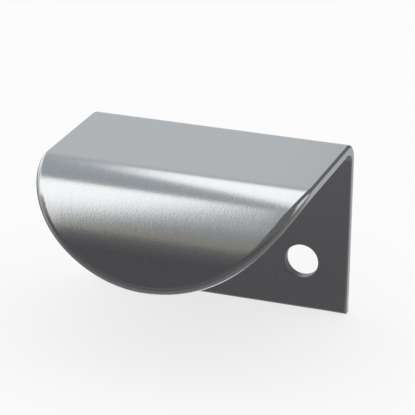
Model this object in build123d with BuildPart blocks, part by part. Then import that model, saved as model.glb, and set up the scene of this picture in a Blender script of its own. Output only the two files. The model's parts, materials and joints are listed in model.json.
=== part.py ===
"""Profile pull: one strip of sheet metal with a half-moon end, folded twice.

The back flange screws flat to a door or drawer front, the top plate stands out from it, and the
half-moon lip curls down in front, so that fingers reach in behind it.

Frame, in millimetres: the origin is midway between the two screw holes, on the back face that
meets the door. X runs along the pull, -Y points away from the door and +Z is up.
"""

import math
import os

from build123d import *

# Driving sizes: the sheet and its blank
sheet = 2.0
width = 50.0
flange_height = 34.2
plate_depth = 26.0

# Driving sizes: the two folds
back_fold_inside = 2.0
lip_fold_inside = 13.5
lip_fold_angle = 75.0

# Driving sizes: the screw holes
hole_spacing = 32.0
hole_diameter = 6.5
hole_height = 9.5

# Driving sizes: the broken edges
outer_edge_round = 0.5
inner_edge_round = 0.3

# Heights of the flange's lower edge and of the top face, from the holes
flange_bottom = -hole_height
top_face = flange_height - hole_height

# The folds' outer radii and their centres, as distance from the door and height
back_fold_outside = back_fold_inside + sheet
lip_fold_outside = lip_fold_inside + sheet
back_fold_centre = (-back_fold_outside, top_face - back_fold_outside)
lip_fold_centre = (-plate_depth, top_face - lip_fold_outside)

# The blank ends in a half circle about the middle of the lip's fold line, measured along the
# middle of the sheet: most of it lies in the fold, and the rest is the straight tip
blank_end_radius = width / 2
lip_fold_middle = lip_fold_inside + sheet / 2
lip_fold_length = lip_fold_middle * math.radians(lip_fold_angle)

# Spare stock round the lip, and how far the half-moon cut reaches past the middle of the sheet
stock = 2 * sheet
stock_tip_length = max(blank_end_radius - lip_fold_length, 0) + stock
cut_reach = sheet
outline_steps = 24

# No broken edge takes more than a quarter of the sheet
round_limit = sheet / 4


def lip_point(across, along, proud):
    """Place a point of the flat blank on the folded lip.

    across runs from the middle of the width, along runs from the fold line towards the tip, and
    proud is the distance out from the middle of the sheet.
    """
    turned = min(along, lip_fold_length) / lip_fold_middle
    straight = max(along - lip_fold_length, 0)
    radius = lip_fold_middle + proud
    y = lip_fold_centre[0] - radius * math.sin(turned) - straight * math.cos(turned)
    z = lip_fold_centre[1] + radius * math.cos(turned) - straight * math.sin(turned)
    return Vector(across, y, z)


def outline_edge(proud):
    """Trace the half circle of the blank's end on the folded lip, from side to side."""
    turns = [math.pi * step / outline_steps for step in range(outline_steps + 1)]
    points = [
        lip_point(blank_end_radius * math.cos(turn), blank_end_radius * math.sin(turn), proud)
        for turn in turns
    ]
    return Edge.make_spline(points, parameters=[turn / math.pi for turn in turns])


def faces_away(face):
    """Say whether a face looks away from the space where the fingers go."""
    finger_space = Vector(0, -plate_depth / 2, 0)
    return face.normal_at().dot(face.center() - finger_space) > 0


def rim_of(faces):
    """Pick the edges where a skin meets a side wall: not folds, hole edges or the lower end."""
    lower_end = flange_bottom + sheet / 2
    edges = faces.edges().filter_by(Axis.X, reverse=True)
    return edges.filter_by(lambda edge: not edge.is_closed and edge.center().Z > lower_end)


# The wall of the half-moon stands square to the sheet all the way round
half_moon_wall = Face.make_surface_from_curves(outline_edge(-cut_reach), outline_edge(cut_reach))

# The lip: folded stock, drawn from the side, then trimmed to the half-moon
with BuildPart() as lip:
    with BuildSketch(Plane.YZ):
        with BuildLine():
            fold_out = CenterArc(lip_fold_centre, lip_fold_outside, 90, lip_fold_angle)
            fold_in = CenterArc(lip_fold_centre, lip_fold_inside, 90, lip_fold_angle)
            tip_out = Line(fold_out @ 1, fold_out @ 1 + (fold_out % 1) * stock_tip_length)
            tip_in = Line(fold_in @ 1, fold_in @ 1 + (fold_in % 1) * stock_tip_length)
            Line(tip_out @ 1, tip_in @ 1)
            Line(fold_out @ 0, fold_in @ 0)
        make_face()
    extrude(amount=width / 2 + stock, both=True)
    split(bisect_by=half_moon_wall, keep=Keep.BOTH)

# The half-moon is the piece that lies nearest the fold line
half_moon = lip.part.solids().sort_by(Axis.Y)[-1]

# The pull: flange, back fold and top plate in one profile, joined to the half-moon
with BuildPart() as pull:
    with BuildSketch(Plane.YZ):
        with BuildLine():
            back_out = CenterArc(back_fold_centre, back_fold_outside, 0, 90)
            back_in = CenterArc(back_fold_centre, back_fold_inside, 0, 90)
            flange_out = Line((0, flange_bottom), back_out @ 0)
            flange_in = Line((-sheet, flange_bottom), back_in @ 0)
            top_out = Line(back_out @ 1, (-plate_depth, top_face))
            top_in = Line(back_in @ 1, (-plate_depth, top_face - sheet))
            Line(flange_out @ 0, flange_in @ 0)
            Line(top_out @ 1, top_in @ 1)
        make_face()
    extrude(amount=width / 2, both=True)
    add(half_moon)

    # Two plain screw holes through the flange
    with Locations(Plane.XZ):
        with GridLocations(hole_spacing, 0, 2, 1):
            Hole(hole_diameter / 2)

    # The sheet's skins, without its side walls: the outer ones face away from the fingers
    skins = pull.faces().filter_by(GeomType.BSPLINE, reverse=True).filter_by(Axis.X, reverse=True)
    outer_skins = skins.filter_by(faces_away)
    inner_skins = skins.filter_by(faces_away, reverse=True)
    fillet(rim_of(outer_skins), radius=min(outer_edge_round, round_limit))
    fillet(rim_of(inner_skins), radius=min(inner_edge_round, round_limit))

pull.part.label = "pull"
os.makedirs("parts", exist_ok=True)
export_step(pull.part, "parts/pull.step")
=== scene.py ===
"""Profile pull: the folded satin metal pull, dressed and lit.

The sheet is laid out flat as its real blank, with its screw holes and broken edges, and a
Geometry Nodes tree then folds it twice, as a press brake does.
"""

import json
import math
from typing import NamedTuple

import bmesh
import bpy
from mathutils import Matrix, Vector


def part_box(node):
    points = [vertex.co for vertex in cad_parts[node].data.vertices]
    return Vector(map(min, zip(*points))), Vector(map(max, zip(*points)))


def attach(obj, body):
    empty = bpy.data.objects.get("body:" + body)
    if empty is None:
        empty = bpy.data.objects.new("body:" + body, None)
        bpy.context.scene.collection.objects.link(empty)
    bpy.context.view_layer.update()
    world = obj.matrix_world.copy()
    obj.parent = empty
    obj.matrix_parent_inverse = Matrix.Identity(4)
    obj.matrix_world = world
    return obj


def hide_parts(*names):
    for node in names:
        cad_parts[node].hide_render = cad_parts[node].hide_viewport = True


bl_info = {
    "name": "Profile Pull",
    "version": (1, 0, 0),
    "blender": (4, 5, 0),
    "location": "3D View > Sidebar > Profile Pull",
    "description": "Folds the profile pull from its blank, and sets its stage, lights and camera",
    "category": "Object",
}

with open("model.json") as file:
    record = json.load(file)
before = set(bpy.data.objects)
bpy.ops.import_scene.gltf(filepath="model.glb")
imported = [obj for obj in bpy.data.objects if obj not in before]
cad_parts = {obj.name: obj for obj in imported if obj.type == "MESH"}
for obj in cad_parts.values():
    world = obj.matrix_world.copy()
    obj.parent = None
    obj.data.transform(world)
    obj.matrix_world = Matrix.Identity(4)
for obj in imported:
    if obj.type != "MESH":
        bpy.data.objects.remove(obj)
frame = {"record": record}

MM = 0.001

# What the frame gives: the pull's box and its two screw holes
LOW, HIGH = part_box("pull")
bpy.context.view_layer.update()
HOLES = next(m for m in frame["record"]["mounts"] if m["name"] == "screw_holes")
HOLE_SPACING = HOLES["dims"]["spacing_x_mm"] * MM
HOLE_RADIUS = HOLES["dims"]["hole_r_mm"] * MM

# How finely the blank is divided. Columns are shares of its half width, out to the left edge
SIDE_COLUMNS = (-1.0, -0.86, -0.75, -0.64, -0.53, -0.42, -0.21, 0.0)
PLATE_ROWS = 4
BACK_FOLD_ROWS = 20
LIP_ROWS = 72
ROUND_STEPS = 6

# Each screw hole is cut in a square patch of the grid: its ring starts at the lower left corner
HOLE_FIRST_ROW = 1
HOLE_ROWS = 4
HOLE_FIRST_COLUMN = 1
HOLE_COLUMNS = 4
HOLE_PATCH = 5.5 * MM
HOLE_SIDES = 64
HOLE_START = math.radians(-135)

# The place of each skin in an edge ring, which runs from the outer skin to the inner one
SKINS = (("outer", 0), ("inner", -1))

# Relief of the grain and the rolling lines at full depth
GRAIN_RELIEF = 0.012 * MM
LINE_RELIEF = 0.02 * MM

# The range in which noise mostly lies, and how far it sways the roughness either way
NOISE_LOW = 0.3
NOISE_HIGH = 0.7
ROUGHNESS_SWAY = 0.04

# The numbers of a Mix node's inputs: its factor, its two numbers and its two colours
FACTOR, NUMBER_A, NUMBER_B, COLOUR_A, COLOUR_B = 0, 2, 3, 6, 7
COLOUR_OUT = 2


class PullSizes(bpy.types.PropertyGroup):
    """Sizes of the folded sheet that the frame does not give."""

    sheet: bpy.props.FloatProperty(
        name="Sheet", description="Thickness of the sheet",
        default=2 * MM, min=0.5 * MM, unit="LENGTH", precision=4,
    )
    back_fold: bpy.props.FloatProperty(
        name="Back Fold", description="Inside radius of the fold above the flange",
        default=2 * MM, min=0.1 * MM, unit="LENGTH", precision=4,
    )
    lip_fold: bpy.props.FloatProperty(
        name="Lip Fold", description="Inside radius of the fold that turns the lip down",
        default=13.5 * MM, min=1 * MM, unit="LENGTH", precision=4,
    )
    lip_angle: bpy.props.FloatProperty(
        name="Lip Angle", description="How far the lip turns down from the top plate",
        default=math.radians(75), min=0, max=math.radians(120), subtype="ANGLE",
    )
    plate_depth: bpy.props.FloatProperty(
        name="Plate Depth", description="From the flange's back face to the start of the lip fold",
        default=26 * MM, min=5 * MM, unit="LENGTH", precision=4,
    )
    side_round: bpy.props.FloatProperty(
        name="Side Round", description="Radius of the outer edges along the flange and top plate",
        default=0.5 * MM, min=0.05 * MM, unit="LENGTH", precision=4,
    )
    lip_round: bpy.props.FloatProperty(
        name="Lip Round", description="Radius of the outer edge round the half-moon lip",
        default=1.4 * MM, min=0.05 * MM, unit="LENGTH", precision=4,
    )
    lip_run_in: bpy.props.FloatProperty(
        name="Lip Run-In", description="Length over which the side round grows to the lip round",
        default=9 * MM, min=0.1 * MM, unit="LENGTH", precision=4,
    )
    inner_round: bpy.props.FloatProperty(
        name="Inner Round", description="Radius of the inner edges",
        default=0.5 * MM, min=0.05 * MM, unit="LENGTH", precision=4,
    )
    hole_break: bpy.props.FloatProperty(
        name="Hole Break", description="Radius of the broken edge round each screw hole",
        default=0.15 * MM, min=0.02 * MM, unit="LENGTH", precision=4,
    )


class PullFinish(bpy.types.PropertyGroup):
    """Colours and finish of the metal."""

    metal_light: bpy.props.StringProperty(
        name="Light Metal Colour", description="sRGB hex colour of the satin metal's light spots",
        default="#CACBCC",
    )
    metal_dark: bpy.props.StringProperty(
        name="Dark Metal Colour", description="sRGB hex colour of the satin metal's dark spots",
        default="#C3C4C5",
    )
    roughness: bpy.props.FloatProperty(
        name="Roughness", description="How soft the reflections are",
        default=0.15, min=0, max=1, subtype="FACTOR",
    )
    grain: bpy.props.FloatProperty(
        name="Grain", description="Size of the blasted grain",
        default=0.3 * MM, min=0.02 * MM, unit="LENGTH", precision=5,
    )
    grain_depth: bpy.props.FloatProperty(
        name="Grain Depth", description="How much the grain turns the light",
        default=0.8, min=0, max=1, subtype="FACTOR",
    )
    line: bpy.props.FloatProperty(
        name="Line Width", description="Width of the sheet's faint rolling lines",
        default=0.3 * MM, min=0.02 * MM, unit="LENGTH", precision=5,
    )
    line_length: bpy.props.FloatProperty(
        name="Line Length", description="Length of the sheet's faint rolling lines",
        default=4 * MM, min=0.1 * MM, unit="LENGTH", precision=4,
    )
    line_depth: bpy.props.FloatProperty(
        name="Line Depth", description="How much the rolling lines turn the light",
        default=0.06, min=0, max=1, subtype="FACTOR",
    )
    wall_colour: bpy.props.StringProperty(
        name="Hole Wall Colour", description="sRGB hex colour of the punched hole walls",
        default="#A4A4A6",
    )
    wall_roughness: bpy.props.FloatProperty(
        name="Hole Wall Roughness", description="How dull the punched hole walls are",
        default=0.5, min=0, max=1, subtype="FACTOR",
    )
    hole_rim: bpy.props.FloatProperty(
        name="Hole Rim", description="How far the punched finish reaches past the hole walls",
        default=0.12 * MM, min=0, unit="LENGTH", precision=5,
    )


class PullStage(bpy.types.PropertyGroup):
    """The stage that the pull stands on."""

    floor_colour: bpy.props.StringProperty(
        name="Floor Colour", description="sRGB hex colour of the pale floor", default="#F4F4F4",
    )
    floor_reach: bpy.props.FloatProperty(
        name="Floor Reach", description="Half the width of the floor",
        default=1.5, min=0.2, unit="LENGTH",
    )
    floor_white: bpy.props.FloatProperty(
        name="Floor White", description="How much of the floor is plain white to the camera",
        default=0.72, min=0, max=1, subtype="FACTOR",
    )
    room_light: bpy.props.FloatProperty(
        name="Room Light", description="Strength of the even light from all round",
        default=1.0, min=0, max=2,
    )


def linear(hex_colour):
    """Turn an sRGB hex colour into linear RGBA."""
    parts = [int(hex_colour.lstrip("#")[i:i + 2], 16) / 255 for i in (0, 2, 4)]
    return [c / 12.92 if c <= 0.04045 else ((c + 0.055) / 1.055) ** 2.4 for c in parts] + [1.0]


def add_node(tree, kind, links=(), **settings):
    """Add a node with its settings, and link or set its inputs, given as (input, value) pairs."""
    node = tree.nodes.new(kind)
    for name, value in settings.items():
        setattr(node, name, value)
    for key, value in links:
        if isinstance(value, bpy.types.NodeSocket):
            tree.links.new(value, node.inputs[key])
        else:
            node.inputs[key].default_value = value
    return node


def satin_metal(finish):
    """Satin nickel on steel: fine-blasted, then plated.

    It gives the eye a soft, slightly cool grey sheen that spreads each light into a broad band,
    with a fine even grain that sparkles where the light falls off.
    """
    material = bpy.data.materials.new("satin_nickel_on_steel")
    material.use_nodes = True
    tree = material.node_tree
    shader = tree.nodes["Principled BSDF"]
    shader.inputs["Metallic"].default_value = 1.0
    place = add_node(tree, "ShaderNodeTexCoord").outputs["Object"]

    # Blasted grain, coarser than the real grit so that it shows
    grain = add_node(
        tree, "ShaderNodeTexNoise", [("Vector", place), ("Scale", 1 / finish.grain)]
    ).outputs["Fac"]
    grained = add_node(
        tree, "ShaderNodeBump",
        [("Height", grain), ("Strength", finish.grain_depth), ("Distance", GRAIN_RELIEF)],
    )

    # Faint lines from the rolled sheet, front to back over the folds
    per_line = (1 / finish.line, 1 / finish.line_length, 1 / finish.line_length)
    drawn = add_node(tree, "ShaderNodeMapping", [("Vector", place), ("Scale", per_line)])
    lines = add_node(
        tree, "ShaderNodeTexNoise", [("Vector", drawn.outputs[0]), ("Scale", 1.0)]
    ).outputs["Fac"]
    lined = add_node(
        tree, "ShaderNodeBump",
        [("Height", lines), ("Strength", finish.line_depth), ("Distance", LINE_RELIEF),
         ("Normal", grained.outputs["Normal"])],
    )
    tree.links.new(lined.outputs["Normal"], shader.inputs["Normal"])

    # The punched walls of the screw holes, by each spot's distance from the nearer hole's axis
    flat = add_node(
        tree, "ShaderNodeVectorMath", [(0, place), (1, (1, 0, 1))], operation="MULTIPLY"
    )
    mirrored = add_node(
        tree, "ShaderNodeVectorMath", [(0, flat.outputs[0])], operation="ABSOLUTE"
    )
    away = add_node(
        tree, "ShaderNodeVectorMath",
        [(0, mirrored.outputs[0]), (1, (HOLE_SPACING / 2, 0, 0))], operation="DISTANCE",
    )
    punched = add_node(
        tree, "ShaderNodeMath",
        [(0, away.outputs["Value"]), (1, HOLE_RADIUS + finish.hole_rim)], operation="LESS_THAN",
    ).outputs[0]

    # The satin metal is a little glossier and duller from spot to spot, and the walls are dull
    patchy = add_node(
        tree, "ShaderNodeMix", [(FACTOR, 0.5), (NUMBER_A, grain), (NUMBER_B, lines)]
    )
    satin = add_node(
        tree, "ShaderNodeMapRange",
        [("Value", patchy.outputs[0]), ("From Min", NOISE_LOW), ("From Max", NOISE_HIGH),
         ("To Min", finish.roughness - ROUGHNESS_SWAY),
         ("To Max", finish.roughness + ROUGHNESS_SWAY)],
    )
    rough = add_node(
        tree, "ShaderNodeMix",
        [(FACTOR, punched), (NUMBER_A, satin.outputs["Result"]),
         (NUMBER_B, finish.wall_roughness)],
    )
    tree.links.new(rough.outputs[0], shader.inputs["Roughness"])

    # It is a little lighter and darker from grain to grain too
    light = add_node(
        tree, "ShaderNodeMapRange",
        [("Value", grain), ("From Min", NOISE_LOW), ("From Max", NOISE_HIGH)],
    )
    mottled = add_node(
        tree, "ShaderNodeMix",
        [(FACTOR, light.outputs["Result"]), (COLOUR_A, linear(finish.metal_dark)),
         (COLOUR_B, linear(finish.metal_light))],
        data_type="RGBA",
    )
    tint = add_node(
        tree, "ShaderNodeMix",
        [(FACTOR, punched), (COLOUR_A, mottled.outputs[COLOUR_OUT]),
         (COLOUR_B, linear(finish.wall_colour))],
        data_type="RGBA",
    )
    tree.links.new(tint.outputs[COLOUR_OUT], shader.inputs["Base Color"])
    return material


def blank_lengths(sizes):
    """Measure the flat blank along the middle of the sheet: flange, back fold, top plate."""
    outside = sizes.back_fold + sizes.sheet
    flange = HIGH.z - LOW.z - outside
    back_fold = (sizes.back_fold + sizes.sheet / 2) * math.pi / 2
    plate = sizes.plate_depth - outside
    return flange, back_fold, plate


def blank_rows(sizes):
    """List the rows of the blank from the flange's lower edge to the tip.

    Each row is (place along the blank, half its width, outer round, way in), where way in is the
    direction from the right-hand end into the sheet.
    """
    flange, back_fold, plate = blank_lengths(sizes)
    half = (HIGH.x - LOW.x) / 2
    patch = 2 * HOLE_PATCH / HOLE_ROWS
    straight = [0.0]
    straight += [-LOW.z - HOLE_PATCH + patch * step for step in range(HOLE_ROWS + 1)]
    straight += [flange + back_fold * step / BACK_FOLD_ROWS for step in range(BACK_FOLD_ROWS + 1)]
    plate_start = flange + back_fold
    straight += [plate_start + plate * step / PLATE_ROWS for step in range(1, PLATE_ROWS + 1)]
    rows = [(along, half, sizes.side_round, (-1.0, 0.0)) for along in straight]
    for step in range(1, LIP_ROWS + 1):
        turn = math.pi / 2 * step / LIP_ROWS
        past = half * math.sin(turn)
        grown = min(past / sizes.lip_run_in, 1.0)
        rounding = sizes.side_round + (sizes.lip_round - sizes.side_round) * grown
        inward = (-math.cos(turn), -math.sin(turn))
        rows.append((plate_start + plate + past, half * math.cos(turn), rounding, inward))
    return rows


def edge_profile(outer, inner, sheet):
    """Give the (inset, height) steps of the sheet's edge, from its outer skin to its inner one."""
    turns = [math.pi / 2 * step / ROUND_STEPS for step in range(ROUND_STEPS + 1)]
    top = [(outer * (1 - math.sin(a)), sheet / 2 - outer * (1 - math.cos(a))) for a in turns]
    low = [(inner * (1 - math.sin(a)), inner * (1 - math.cos(a)) - sheet / 2) for a in turns]
    return top + low[::-1]


def add_points(verts, points):
    """Add vertices, and give their numbers."""
    first = len(verts)
    verts += points
    return list(range(first, len(verts)))


def strip(here, ahead):
    """Give the faces between two rings of vertex numbers, one ahead of the other."""
    return [(here[a], here[a + 1], ahead[a + 1], ahead[a]) for a in range(len(here) - 1)]


def edge_stations(rows, columns):
    """List the places on the blank's outline where its edge profile stands.

    Each is (row and column in the grid, point on the outline, way in, outer round).
    """
    last = len(columns) - 1
    along, half, rounding, _ = rows[0]
    stations = [
        ((0, j), (columns[j] * half, along), (0.0, 1.0), rounding) for j in range(1, last)
    ]
    for i, (along, half, rounding, (across, back)) in enumerate(rows[:-1]):
        # The two lower corners lead in across and along at once
        up = 1.0 if i == 0 else back
        stations.append(((i, last), (half, along), (across, up), rounding))
        stations.append(((i, 0), (-half, along), (-across, up), rounding))
    along, _, rounding, inward = rows[-1]
    stations.append(((len(rows) - 1, last), (0.0, along), inward, rounding))
    return stations


def skin_grid(verts, rings, layer, height, columns, tip):
    """Fill one skin of the blank between its edges, and give the grid of its vertex numbers."""
    last = len(columns) - 1
    grid = {}
    for i in range(tip):
        x, along, _ = verts[rings[(i, last)][layer]]
        for j, share in enumerate(columns):
            if (i, j) in rings:
                grid[(i, j)] = rings[(i, j)][layer]
            else:
                grid[(i, j)] = add_points(verts, [(share * x, along, height)])[0]
    grid.update({(tip, j): rings[(tip, last)][layer] for j in range(last + 1)})
    return grid


def cut_hole(verts, faces, skins, start, centre, sizes):
    """Cut a screw hole in both skins' patch from a column on, and give the cells that it takes."""
    low, high = HOLE_FIRST_ROW, HOLE_FIRST_ROW + HOLE_ROWS
    end = start + HOLE_COLUMNS
    border = [(low, j) for j in range(start, end)] + [(i, end) for i in range(low, high)]
    border += [(high, j) for j in range(end, start, -1)]
    border += [(i, start) for i in range(high, low, -1)]
    profile = edge_profile(sizes.hole_break, sizes.hole_break, sizes.sheet)
    wall = []
    for step in range(HOLE_SIDES):
        turn = HOLE_START + 2 * math.pi * step / HOLE_SIDES
        wall.append(add_points(verts, [
            (centre + (HOLE_RADIUS + inset) * math.cos(turn),
             -LOW.z + (HOLE_RADIUS + inset) * math.sin(turn), height)
            for inset, height in profile
        ]))
    for here, ahead in zip(wall, wall[1:] + wall[:1]):
        faces += strip(here, ahead)
    per_side = HOLE_SIDES // len(border)
    for name, layer in SKINS:
        grid = skins[name]
        for k, (here, ahead) in enumerate(zip(border, border[1:] + border[:1])):
            arc = [
                wall[(k * per_side + step) % HOLE_SIDES][layer]
                for step in range(per_side, -1, -1)
            ]
            faces.append((grid[here], grid[ahead], *arc))
    return {(i, j) for i in range(low, high) for j in range(start, end)}


def blank_mesh(sizes):
    """Lay out the flat blank: X across, Y along from the flange's lower edge, Z out of it."""
    columns = list(SIDE_COLUMNS) + [-share for share in SIDE_COLUMNS[-2::-1]]
    rows = blank_rows(sizes)
    last, tip = len(columns) - 1, len(rows) - 1
    verts, faces = [], []

    # The edge profile all round, and the two skins between
    rings = {}
    for key, (x, along), (across, back), outer in edge_stations(rows, columns):
        rings[key] = add_points(verts, [
            (x + across * inset, along + back * inset, height)
            for inset, height in edge_profile(outer, sizes.inner_round, sizes.sheet)
        ])
    skins = {}
    for (name, layer), height in zip(SKINS, (sizes.sheet / 2, -sizes.sheet / 2)):
        skins[name] = skin_grid(verts, rings, layer, height, columns, tip)

    # The two screw holes, and the skins' cells round them, which taper to a point at the tip
    taken = cut_hole(
        verts, faces, skins, HOLE_FIRST_COLUMN, -HOLE_SPACING / 2, sizes
    ) | cut_hole(
        verts, faces, skins, last - HOLE_FIRST_COLUMN - HOLE_COLUMNS, HOLE_SPACING / 2, sizes
    )
    for grid in skins.values():
        for i in range(tip):
            for j in range(last):
                if (i, j) not in taken:
                    corners = ((i, j), (i, j + 1), (i + 1, j + 1), (i + 1, j))
                    faces.append(tuple(dict.fromkeys(grid[corner] for corner in corners)))

    # The edge faces, from one station to the next
    around = [(0, j) for j in range(last + 1)] + [(i, last) for i in range(1, tip + 1)]
    around += [(i, 0) for i in range(tip - 1, 0, -1)]
    for here, ahead in zip(around, around[1:] + around[:1]):
        faces += strip(rings[here], rings[ahead])

    mesh = bpy.data.meshes.new("pull_blank")
    mesh.from_pydata(verts, [], faces)
    return mesh


FOLD_INPUTS = (
    ("Base Height", "NodeSocketFloat"),
    ("Sheet", "NodeSocketFloat"),
    ("Flange Length", "NodeSocketFloat"),
    ("Back Fold Radius", "NodeSocketFloat"),
    ("Plate Length", "NodeSocketFloat"),
    ("Lip Fold Radius", "NodeSocketFloat"),
    ("Lip Angle", "NodeSocketFloat"),
    ("Metal", "NodeSocketMaterial"),
)


# How a point of the flat blank is folded: each step is (its name, math operation, its inputs)
FOLD_STEPS = (
    # How far the sheet has gone into each stretch, and how far it has turned
    ("up", "MINIMUM", "along", "Flange Length"),
    ("past flange", "SUBTRACT", "along", "up"),
    ("back fold length", "MULTIPLY", "Back Fold Radius", math.pi / 2),
    ("in back fold", "MINIMUM", "past flange", "back fold length"),
    ("back turn", "DIVIDE", "in back fold", "Back Fold Radius"),
    ("past back fold", "SUBTRACT", "past flange", "in back fold"),
    ("in plate", "MINIMUM", "past back fold", "Plate Length"),
    ("past plate", "SUBTRACT", "past back fold", "in plate"),
    ("lip fold length", "MULTIPLY", "Lip Fold Radius", "Lip Angle"),
    ("in lip fold", "MINIMUM", "past plate", "lip fold length"),
    ("lip turn", "DIVIDE", "in lip fold", "Lip Fold Radius"),
    ("in tip", "SUBTRACT", "past plate", "in lip fold"),
    ("turn", "ADD", "back turn", "lip turn"),
    ("back cosine", "COSINE", "back turn"),
    ("back sine", "SINE", "back turn"),
    ("lip cosine", "COSINE", "lip turn"),
    ("lip sine", "SINE", "lip turn"),
    ("cosine", "COSINE", "turn"),
    ("sine", "SINE", "turn"),
    # Distance from the door: each stretch leads away from it
    ("out", "MULTIPLY", "Sheet", 0.5),
    ("out in back fold", "SUBTRACT", 1.0, "back cosine"),
    ("out", "MULTIPLY_ADD", "Back Fold Radius", "out in back fold", "out"),
    ("out", "ADD", "out", "in plate"),
    ("out", "MULTIPLY_ADD", "Lip Fold Radius", "lip sine", "out"),
    ("out", "MULTIPLY_ADD", "in tip", "lip cosine", "out"),
    ("y", "MULTIPLY", "proud", "cosine"),
    ("y", "SUBTRACT", "y", "out"),
    # Height: up the flange and the back fold, and down the lip
    ("z", "ADD", "Base Height", "up"),
    ("z", "MULTIPLY_ADD", "Back Fold Radius", "back sine", "z"),
    ("down in lip fold", "SUBTRACT", 1.0, "lip cosine"),
    ("down", "MULTIPLY", "Lip Fold Radius", "down in lip fold"),
    ("down", "MULTIPLY_ADD", "in tip", "lip sine", "down"),
    ("z", "SUBTRACT", "z", "down"),
    ("z", "MULTIPLY_ADD", "proud", "sine", "z"),
)


def fold_tree():
    """Build the tree that folds a blank: up the flange, over the top plate and down the lip."""
    tree = bpy.data.node_groups.new("fold_sheet", "GeometryNodeTree")
    tree.interface.new_socket("Geometry", in_out="INPUT", socket_type="NodeSocketGeometry")
    for name, kind in FOLD_INPUTS:
        tree.interface.new_socket(name, in_out="INPUT", socket_type=kind)
    tree.interface.new_socket("Geometry", in_out="OUTPUT", socket_type="NodeSocketGeometry")
    given = add_node(tree, "NodeGroupInput").outputs
    place = add_node(tree, "GeometryNodeInputPosition").outputs[0]
    point = add_node(tree, "ShaderNodeSeparateXYZ", [(0, place)]).outputs

    sockets = {name: given[name] for name, _ in FOLD_INPUTS}
    sockets.update(along=point["Y"], proud=point["Z"])
    for name, operation, *terms in FOLD_STEPS:
        values = [sockets[term] if isinstance(term, str) else term for term in terms]
        step = add_node(
            tree, "ShaderNodeMath", enumerate(values), operation=operation, label=name
        )
        sockets[name] = step.outputs[0]

    folded = add_node(
        tree, "ShaderNodeCombineXYZ", [(0, point["X"]), (1, sockets["y"]), (2, sockets["z"])]
    )
    moved = add_node(
        tree, "GeometryNodeSetPosition",
        [("Geometry", given["Geometry"]), ("Position", folded.outputs[0])],
    )
    real = add_node(tree, "GeometryNodeRealizeInstances", [("Geometry", moved.outputs[0])])
    dressed = add_node(
        tree, "GeometryNodeSetMaterial",
        [("Geometry", real.outputs[0]), ("Material", given["Metal"])],
    )
    add_node(tree, "NodeGroupOutput", [("Geometry", dressed.outputs[0])])
    return tree


def fold(blank, values):
    """Fold a blank by the tree, and give the result as a plain mesh."""
    modifier = blank.modifiers.new("fold", "NODES")
    modifier.node_group = fold_tree()
    for item in modifier.node_group.interface.items_tree:
        if item.in_out == "INPUT" and item.name in values:
            modifier[item.identifier] = values[item.name]
    bpy.context.view_layer.update()
    graph = bpy.context.evaluated_depsgraph_get()
    mesh = bpy.data.meshes.new_from_object(blank.evaluated_get(graph))
    blank.modifiers.clear()
    return mesh


def smooth_by_area(mesh):
    """Shade a mesh smooth, with each normal led by its largest faces, so that flats stay flat."""
    normals = [Vector() for _ in mesh.vertices]
    for face in mesh.polygons:
        for index in face.vertices:
            normals[index] += face.normal * face.area
    mesh.shade_smooth()
    mesh.normals_split_custom_set_from_vertices([n.normalized() for n in normals])


def point_outwards(mesh):
    """Turn every face of a closed mesh outwards."""
    made = bmesh.new()
    made.from_mesh(mesh)
    bmesh.ops.recalc_face_normals(made, faces=made.faces)
    made.to_mesh(mesh)
    made.free()


class PULL_OT_sheet(bpy.types.Operator):
    """Make the folded sheet of the pull"""

    bl_idname = "pull.sheet"
    bl_label = "Folded Sheet"

    def execute(self, context):
        sizes = context.scene.pull_sizes
        metal = satin_metal(context.scene.pull_finish)
        blank = bpy.data.objects.new("pull_sheet", blank_mesh(sizes))
        context.scene.collection.objects.link(blank)
        flange, _, plate = blank_lengths(sizes)
        flat = blank.data
        blank.data = fold(blank, {
            "Base Height": LOW.z,
            "Sheet": sizes.sheet,
            "Flange Length": flange,
            "Back Fold Radius": sizes.back_fold + sizes.sheet / 2,
            "Plate Length": plate,
            "Lip Fold Radius": sizes.lip_fold + sizes.sheet / 2,
            "Lip Angle": sizes.lip_angle,
            "Metal": metal,
        })
        bpy.data.meshes.remove(flat)
        point_outwards(blank.data)
        smooth_by_area(blank.data)
        blank.data.name = "pull_sheet"
        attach(blank, "root")
        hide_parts("pull")
        return {"FINISHED"}


# The camera, from the photograph's frame: view angles, focal length in pixels and place
PHOTO_PIXELS = 415
CAMERA_AZIMUTH = math.radians(19.215)
CAMERA_ELEVATION = math.radians(21.88)
CAMERA_ROLL = math.radians(0.802)
CAMERA_DISTANCE = 440.0 * MM
CAMERA_FOCAL_PIXELS = 2375.1
CAMERA_SIDEWAYS = -3.145 * MM
CAMERA_UPWARDS = -15.839 * MM
CAMERA_NEAREST = 10 * MM
SENSOR_WIDTH = 36.0


def make_camera(scene):
    """Aim the camera as in the photograph, at the top plate's back edge."""
    data = bpy.data.cameras.new("camera")
    camera = bpy.data.objects.new("camera", data)
    scene.collection.objects.link(camera)
    a, e, roll = CAMERA_AZIMUTH, CAMERA_ELEVATION, CAMERA_ROLL
    back = Vector((math.sin(a) * math.cos(e), -math.cos(a) * math.cos(e), math.sin(e)))
    right = Vector((math.cos(a), math.sin(a), 0))
    up = back.cross(right)
    target = Vector((0, 0, HIGH.z))
    place = target + back * CAMERA_DISTANCE + right * CAMERA_SIDEWAYS + up * CAMERA_UPWARDS
    turned_right = right * math.cos(roll) + up * math.sin(roll)
    turned_up = up * math.cos(roll) - right * math.sin(roll)
    turned = Matrix((turned_right, turned_up, back)).transposed().to_4x4()
    camera.matrix_world = Matrix.Translation(place) @ turned
    data.sensor_width = SENSOR_WIDTH
    data.lens = SENSOR_WIDTH * CAMERA_FOCAL_PIXELS / PHOTO_PIXELS
    data.clip_start = CAMERA_NEAREST
    data.dof.use_dof = False
    scene.camera = camera


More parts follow.
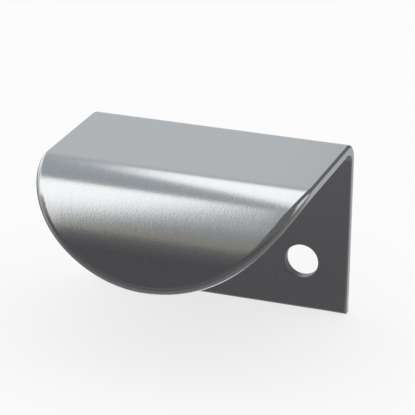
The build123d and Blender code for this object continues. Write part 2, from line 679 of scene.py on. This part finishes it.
def stage_mesh(scene, name, verts, faces):
    """Add a mesh that belongs to the stage, not to the pull."""
    mesh = bpy.data.meshes.new(name)
    mesh.from_pydata(verts, [], faces)
    thing = bpy.data.objects.new(name, mesh)
    scene.collection.objects.link(thing)
    return thing


def make_floor(scene):
    """Lay a wide pale floor under the pull: near white to the camera, with a soft shadow."""
    reach = scene.pull_stage.floor_reach
    corners = [(-reach, -reach), (reach, -reach), (reach, reach), (-reach, reach)]
    floor = stage_mesh(scene, "floor", [(x, y, LOW.z) for x, y in corners], [(0, 1, 2, 3)])
    material = bpy.data.materials.new("pale_floor")
    material.use_nodes = True
    tree = material.node_tree
    tree.nodes.remove(tree.nodes["Principled BSDF"])
    seen = add_node(tree, "ShaderNodeLightPath").outputs
    shows = add_node(
        tree, "ShaderNodeMath", [(0, seen["Is Camera Ray"]), (1, seen["Is Glossy Ray"])],
        operation="ADD", use_clamp=True,
    )
    share = add_node(
        tree, "ShaderNodeMath", [(0, shows.outputs[0]), (1, scene.pull_stage.floor_white)],
        operation="MULTIPLY",
    ).outputs[0]
    paper = add_node(
        tree, "ShaderNodeBsdfDiffuse", [("Color", linear(scene.pull_stage.floor_colour))]
    )
    white = add_node(tree, "ShaderNodeEmission", [("Strength", 1.0)])
    mixed = add_node(
        tree, "ShaderNodeMixShader", [(0, share), (1, paper.outputs[0]), (2, white.outputs[0])]
    )
    tree.links.new(mixed.outputs[0], tree.nodes["Material Output"].inputs["Surface"])
    floor.data.materials.append(material)
    # The tent's own cloth lies below the pull in its reflections
    floor.visible_glossy = False


def make_world(scene):
    """Surround the pull with even soft light, which is plain white where it is seen."""
    world = bpy.data.worlds.new("studio")
    world.use_nodes = True
    tree = world.node_tree
    seen = add_node(tree, "ShaderNodeLightPath").outputs
    shows = add_node(
        tree, "ShaderNodeMath", [(0, seen["Is Camera Ray"]), (1, seen["Is Glossy Ray"])],
        operation="ADD",
    )
    shows = add_node(
        tree, "ShaderNodeMath", [(0, shows.outputs[0]), (1, seen["Is Transmission Ray"])],
        operation="ADD", use_clamp=True,
    )
    strength = add_node(
        tree, "ShaderNodeMapRange",
        [("Value", shows.outputs[0]), ("To Min", scene.pull_stage.room_light)],
    )
    background = tree.nodes["Background"]
    background.inputs["Color"].default_value = (1, 1, 1, 1)
    tree.links.new(strength.outputs["Result"], background.inputs["Strength"])
    scene.world = world


def ease(low, high, value):
    """Rise smoothly from 0 at low to 1 at high."""
    t = min(max((value - low) / (high - low), 0.0), 1.0)
    return t * t * (3 - 2 * t)


def between(stops, value):
    """Read a colour at a place between (place, colour) stops."""
    if value <= stops[0][0]:
        return Vector(stops[0][1])
    for (a, low), (b, high) in zip(stops, stops[1:]):
        if value <= b:
            return Vector(low).lerp(Vector(high), (value - a) / (b - a))
    return Vector(stops[-1][1])


# A light tent stands round the pull: a drum with its axis across, closed at both ends
TENT_RADIUS = 0.4
TENT_HALF_WIDTH = 0.5
TENT_CENTRE = (-0.033, 0.012)
TENT_STEPS = 180
TENT_ACROSS = 100
TENT_SEAM = 270
LEFT_END = 0.6
RIGHT_END = 0.2

# The light of its cloth by angle, in degrees up from the horizon behind the pull. Its levels, and
# those of what hangs in it, were set until renders showed the bands of the photograph
TENT_CLOTH = (
    (-90, (0.24, 0.24, 0.25)),
    (-50, (0.27, 0.27, 0.28)),
    (-5, (0.30, 0.30, 0.30)),
    (12, (0.50, 0.52, 0.53)),
    (20, (0.72, 0.75, 0.77)),
    (28, (0.68, 0.71, 0.73)),
    (34, (0.54, 0.57, 0.60)),
    (75, (0.47, 0.51, 0.54)),
    (113, (0.50, 0.53, 0.54)),
    (125, (0.39, 0.41, 0.42)),
    (134, (0.37, 0.37, 0.36)),
    (144, (0.36, 0.335, 0.29)),
    (150, (0.19, 0.19, 0.19)),
    (161, (0.135, 0.135, 0.14)),
    (173, (0.105, 0.105, 0.11)),
    (200, (0.17, 0.17, 0.18)),
    (209, (0.11, 0.11, 0.115)),
    (225, (0.20, 0.20, 0.205)),
    (270, (0.24, 0.24, 0.25)),
)


class Hanging(NamedTuple):
    """A cloth or a lamp that hangs in the tent.

    It comes in and goes out softly, over a pair of angles in degrees at its start and its end,
    and over a pair of places across, in metres, at its left and its right. Its end leans by
    degrees per metre about a place across.
    """

    light: tuple
    start: tuple
    end: tuple
    left: tuple = (-2.0, -1.0)
    right: tuple = (1.0, 2.0)
    lean: float = 0.0
    lean_about: float = 0.0


# What hangs in the tent, each in front of the ones before it
HANGINGS = (
    # A light table below, behind the pull, and its dark left end
    Hanging((1.0, 1.0, 1.0), (-80, -60), (-14, -4), left=(-0.16, -0.12), right=(0.02, 0.09)),
    Hanging((0.15, 0.15, 0.15), (-80, -60), (-14, -4), right=(-0.18, -0.12)),
    # Paler cloth to the right of the table, for the sheet's side walls
    Hanging((0.55, 0.55, 0.56), (-52, -38), (-16, -8), left=(0.03, 0.10), right=(0.22, 0.30)),
    # Bright cloth level with the pull, on the left, so that the back fold fades out
    Hanging((0.66, 0.69, 0.71), (-24, -16), (16, 22), left=(-0.24, -0.19), right=(0.0, 0.05)),
    # Dark cloth to the right, and a window at its far end
    Hanging((0.19, 0.19, 0.19), (-16, -4), (150, 165), left=(-0.09, 0.02)),
    Hanging((1.15, 1.15, 1.15), (0, 15), (70, 88), left=(0.34, 0.44)),
    # Bright cloth to the left, dimmer between the two lamps
    Hanging((1.35, 1.35, 1.35), (2, 14), (100, 125), right=(-0.30, -0.22)),
    Hanging((0.85, 0.85, 0.85), (48, 58), (70, 84), right=(-0.30, -0.22)),
    # A lamp behind
    Hanging(
        (1.60, 1.63, 1.63), (35, 39), (50, 56), left=(-0.158, -0.136), right=(-0.07, -0.04),
        lean=341, lean_about=-0.141,
    ),
    # A lamp overhead that fades towards the front, and its short left end
    Hanging((1.63, 1.65, 1.64), (84, 88), (105, 118), right=(-0.19, -0.15)),
    Hanging(
        (1.63, 1.65, 1.64), (79, 84), (113, 141), left=(-0.23, -0.19), right=(-0.118, -0.088),
        lean=-594, lean_about=-0.166,
    ),
)


def tent_light(angle, x):
    """Give the tent's light at an angle round it and a place across it."""
    light = between(TENT_CLOTH, angle)
    for hanging in HANGINGS:
        upright = angle - hanging.lean * (x - hanging.lean_about)
        share = ease(*hanging.start, angle) * (1 - ease(*hanging.end, upright))
        share *= ease(*hanging.left, x) * (1 - ease(*hanging.right, x))
        light = light.lerp(Vector(hanging.light), share)
    return light


def make_tent(scene):
    """Stand the light tent round the pull, seen only in its reflections."""
    ring = []
    for step in range(TENT_STEPS):
        turn = 2 * math.pi * step / TENT_STEPS
        y = TENT_CENTRE[0] + TENT_RADIUS * math.cos(turn)
        z = TENT_CENTRE[1] + TENT_RADIUS * math.sin(turn)
        angle = math.degrees(turn)
        ring.append((y, z, angle if angle < TENT_SEAM else angle - 360))
    verts, lights, faces = [], [], []
    for step in range(TENT_ACROSS + 1):
        x = TENT_HALF_WIDTH * (2 * step / TENT_ACROSS - 1)
        verts += [(x, y, z) for y, z, _ in ring]
        lights += [tent_light(angle, x) for _, _, angle in ring]
    for first in range(0, TENT_ACROSS * TENT_STEPS, TENT_STEPS):
        for k in range(TENT_STEPS):
            here, ahead = first + k, first + (k + 1) % TENT_STEPS
            faces.append((here, ahead, ahead + TENT_STEPS, here + TENT_STEPS))
    ends = (
        (-TENT_HALF_WIDTH, 0, LEFT_END),
        (TENT_HALF_WIDTH, TENT_ACROSS * TENT_STEPS, RIGHT_END),
    )
    for x, first, level in ends:
        middle = add_points(verts, [(x, *TENT_CENTRE)])[0]
        lights.append(Vector((level, level, level)))
        for k in range(TENT_STEPS):
            faces.append((first + k, first + (k + 1) % TENT_STEPS, middle))
    tent = stage_mesh(scene, "light_tent", verts, faces)
    layer = tent.data.attributes.new("light", "FLOAT_COLOR", "POINT")
    for item, light in zip(layer.data, lights):
        item.color = (*light, 1.0)
    material = bpy.data.materials.new("tent_cloth")
    material.use_nodes = True
    material.cycles.emission_sampling = "NONE"
    tree = material.node_tree
    tree.nodes.remove(tree.nodes["Principled BSDF"])
    light = add_node(tree, "ShaderNodeAttribute", attribute_name="light").outputs["Color"]
    cloth = add_node(tree, "ShaderNodeEmission", [("Color", light)])
    tree.links.new(cloth.outputs[0], tree.nodes["Material Output"].inputs["Surface"])
    tent.data.materials.append(material)
    tent.visible_camera = False
    tent.visible_diffuse = False
    tent.visible_shadow = False


class PULL_OT_stage(bpy.types.Operator):
    """Set the floor, the lights and the camera"""

    bl_idname = "pull.stage"
    bl_label = "Stage"

    def execute(self, context):
        make_camera(context.scene)
        make_floor(context.scene)
        make_world(context.scene)
        make_tent(context.scene)
        context.scene.view_settings.view_transform = "Standard"
        return {"FINISHED"}


class PULL_PT_panel(bpy.types.Panel):
    """Sizes, finish and pieces of the profile pull"""

    bl_idname = "PULL_PT_panel"
    bl_label = "Profile Pull"
    bl_space_type = "VIEW_3D"
    bl_region_type = "UI"
    bl_category = "Profile Pull"

    def draw(self, context):
        scene = context.scene
        for group in (scene.pull_sizes, scene.pull_finish, scene.pull_stage):
            box = self.layout.box()
            for name in group.bl_rna.properties.keys():
                if name not in {"rna_type", "name"}:
                    box.prop(group, name)
        self.layout.operator(PULL_OT_sheet.bl_idname)
        self.layout.operator(PULL_OT_stage.bl_idname)


CLASSES = (PullSizes, PullFinish, PullStage, PULL_OT_sheet, PULL_OT_stage, PULL_PT_panel)


def register():
    for cls in CLASSES:
        bpy.utils.register_class(cls)
    bpy.types.Scene.pull_sizes = bpy.props.PointerProperty(type=PullSizes)
    bpy.types.Scene.pull_finish = bpy.props.PointerProperty(type=PullFinish)
    bpy.types.Scene.pull_stage = bpy.props.PointerProperty(type=PullStage)


def unregister():
    del bpy.types.Scene.pull_stage
    del bpy.types.Scene.pull_finish
    del bpy.types.Scene.pull_sizes
    for cls in reversed(CLASSES):
        bpy.utils.unregister_class(cls)


def main():
    register()
    bpy.ops.pull.sheet()
    bpy.ops.pull.stage()


if __name__ == "__main__":
    main()
